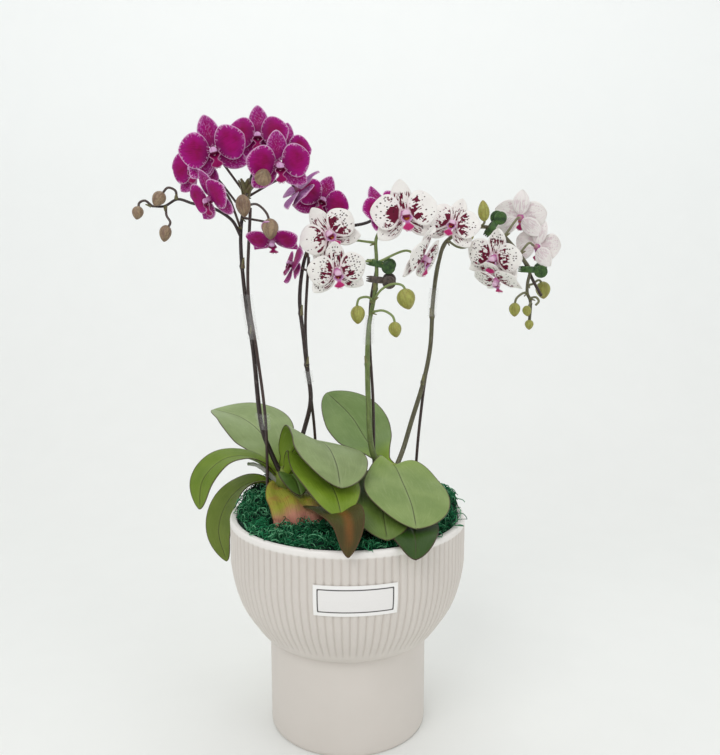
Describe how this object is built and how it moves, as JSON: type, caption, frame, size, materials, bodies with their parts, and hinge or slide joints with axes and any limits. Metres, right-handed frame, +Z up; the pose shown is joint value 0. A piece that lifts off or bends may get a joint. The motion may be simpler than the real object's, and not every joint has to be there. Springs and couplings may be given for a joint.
{
  "type": "potted miniature moth orchid",
  "caption": "Miniature moth orchids with purple flowers and with maroon-spotted white flowers, staked and mossed in a ribbed footed bowl.",
  "frame": {"origin": "centre of the bowl's foot on the surface it stands on", "axes": "+Z up along the bowl's axis, -Y towards the side with the label, +X to the right seen from that side"},
  "size_m": [0.3227, 0.1897, 0.4725],
  "materials": {
    "pot_ceramic": "matte, finely ribbed",
    "label_paper": "bare paper with a thin ruled border",
    "growing_medium": "rough bark chips, plain",
    "moss": "dyed curly wool moss",
    "crown": "smooth plant tissue with silvery roots",
    "stake": "coated wire",
    "spike_dark": "smooth waxy flower stem",
    "spike_green": "smooth waxy flower stem",
    "spike_olive": "smooth waxy flower stem",
    "leaf": "waxy fleshy leaf",
    "leaf_old": "ageing leaf, yellow-green to orange",
    "clip_brown": "moulded clip",
    "clip_green": "moulded clip",
    "sleeve_clear": "clear thin tube",
    "petal_purple": "soft velvety petals",
    "petal_spotted": "soft petals with maroon spots"
  },
  "bodies": {
    "root": {"pot": "pot_ceramic", "label": "label_paper", "growing_medium": "growing_medium", "moss": "moss", "crown_purple": "crown", "crown_spotted": "crown", "stake_purple_left": "stake", "stake_purple_right": "stake", "stake_spotted_left": "stake", "stake_spotted_right": "stake", "spike_purple_left": "spike_dark", "spike_purple_right": "spike_dark", "spike_spotted_left": "spike_green", "spike_spotted_right": "spike_olive", "leaf_purple_left": "leaf", "leaf_purple_low_left": "leaf", "leaf_purple_back": "leaf", "leaf_purple_front": "leaf", "leaf_purple_under": "leaf", "leaf_purple_small": "leaf", "leaf_purple_cut": "leaf_old", "leaf_purple_old": "leaf_old", "leaf_spotted_back": "leaf", "leaf_spotted_front": "leaf", "leaf_spotted_middle": "leaf", "leaf_spotted_low": "leaf", "clip_brown": "clip_brown", "clip_green_left": "clip_green", "clip_green_top": "clip_green", "clip_green_right": "clip_green", "sleeve_purple_left": "sleeve_clear", "sleeve_purple_low": "sleeve_clear", "sleeve_purple_right": "sleeve_clear", "sleeve_spotted_left": "sleeve_clear", "sleeve_spotted_right": "sleeve_clear", "bloom_purple_1": "petal_purple", "bloom_purple_2": "petal_purple", "bloom_purple_3": "petal_purple", "bloom_purple_4": "petal_purple", "bloom_purple_5": "petal_purple", "bloom_purple_6": "petal_purple", "bloom_purple_7": "petal_purple", "bloom_purple_8": "petal_purple", "bloom_purple_9": "petal_purple", "bloom_purple_10": "petal_purple", "bloom_purple_11": "petal_purple", "bloom_spotted_1": "petal_spotted", "bloom_spotted_2": "petal_spotted", "bloom_spotted_3": "petal_spotted", "bloom_spotted_4": "petal_spotted", "bloom_spotted_5": "petal_spotted", "bloom_spotted_6": "petal_spotted", "bloom_spotted_7": "petal_spotted", "bloom_spotted_8": "petal_spotted", "bloom_spotted_9": "petal_spotted"}
  },
  "joints": []
}
